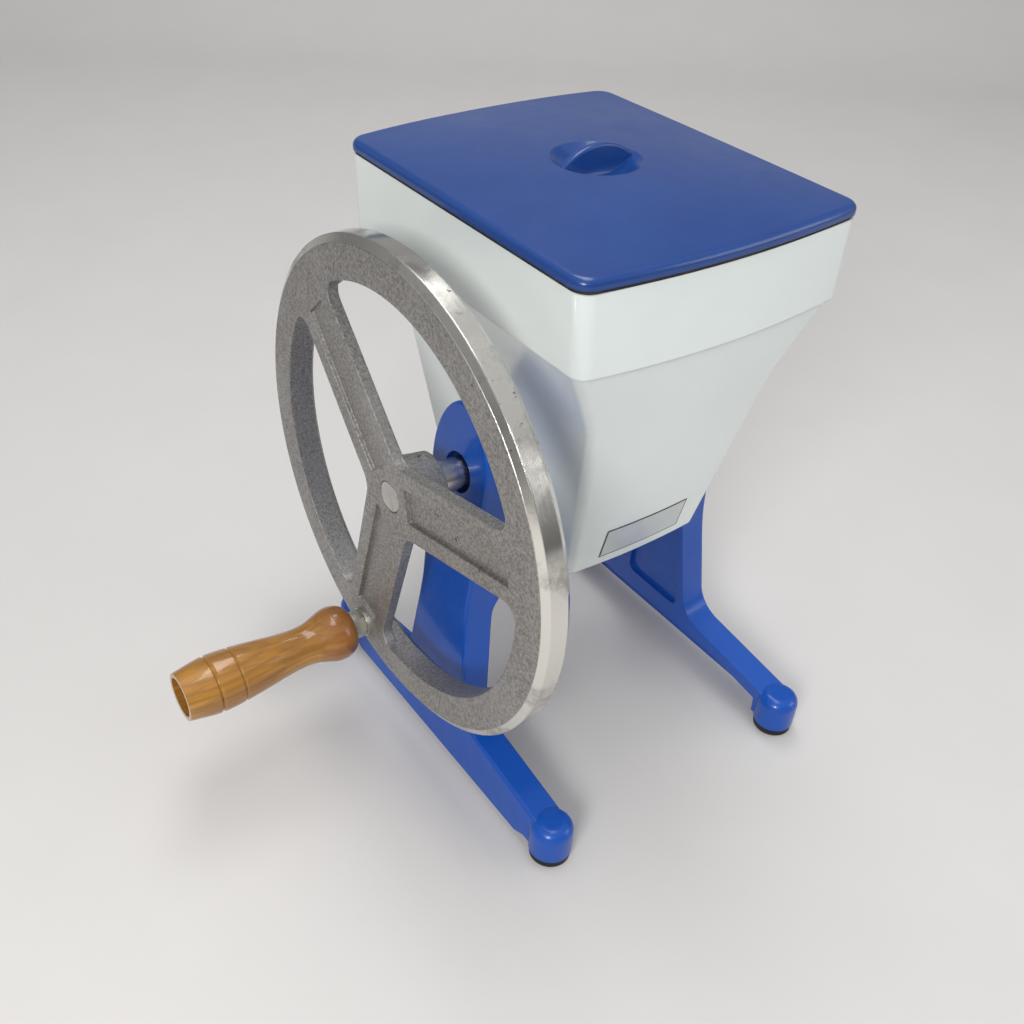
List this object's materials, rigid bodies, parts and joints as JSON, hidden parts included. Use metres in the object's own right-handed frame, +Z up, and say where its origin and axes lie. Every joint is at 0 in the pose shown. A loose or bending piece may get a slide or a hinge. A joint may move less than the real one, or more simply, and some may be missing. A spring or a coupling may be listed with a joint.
{
  "type": "ice shaver with crank",
  "caption": "Hand-cranked ice shaver with a covered hopper on cast side frames, a spoked flywheel and a turned wooden handle.",
  "frame": {"origin": "on the table, under the crank shaft, midway between the two side frames", "axes": "+X along the shaft away from the flywheel, -Y the front, +Z up"},
  "size_m": [0.386, 0.3, 0.3966],
  "materials": {
    "blue_paint": "glossy enamel on castings",
    "white_paint": "semi-gloss enamel",
    "cast_aluminium": "sand cast, rim turned bright",
    "stainless_sheet": "brushed",
    "blade_steel": "ground",
    "ground_steel": "ground bright",
    "zinc_steel": "zinc plated",
    "bronze": "sintered bronze",
    "black_rubber": "matt rubber",
    "varnished_wood": "varnished hardwood"
  },
  "bodies": {
    "stand": {"hopper_housing": "white_paint", "hopper_chute": "stainless_sheet", "shaving_drum": "cast_aluminium", "blade": "blade_steel", "blade_clamp": "stainless_sheet", "blade_screws": "zinc_steel", "left_bush": "bronze", "right_bush": "bronze", "left_side_frame": "blue_paint", "right_side_frame": "blue_paint", "frame_screws": "zinc_steel", "foot_pad_front_left": "black_rubber", "foot_pad_rear_left": "black_rubber", "foot_pad_front_right": "black_rubber", "foot_pad_rear_right": "black_rubber", "foot_screws": "zinc_steel"},
    "crank": {"main_shaft": "ground_steel", "flywheel": "cast_aluminium", "flywheel_pin": "ground_steel", "rotor": "cast_aluminium", "rotor_pin": "ground_steel", "thrust_washer": "bronze", "retaining_ring": "zinc_steel", "crank_stud": "zinc_steel", "stud_washer": "zinc_steel", "stud_nut": "zinc_steel", "handle_washer": "zinc_steel", "handle_nut": "zinc_steel"},
    "grip": {"handle_grip": "varnished_wood", "handle_sleeve": "ground_steel"},
    "lid": {"lid": "blue_paint", "lid_gasket": "black_rubber"}
  },
  "joints": [
    {"name": "crank_spin", "type": "hinge", "parent": "stand", "child": "crank", "pos_m": [0, 0, 0.219], "axis": [1, 0, 0], "continuous": true},
    {"name": "grip_spin", "type": "hinge", "parent": "crank", "child": "grip", "pos_m": [-0.21, 0.038, 0.09154], "axis": [1, 0, 0], "continuous": true},
    {"name": "lid_lift", "type": "slide", "parent": "stand", "child": "lid", "axis": [0, 0, 1], "range_m": [0, 0.06]}
  ]
}
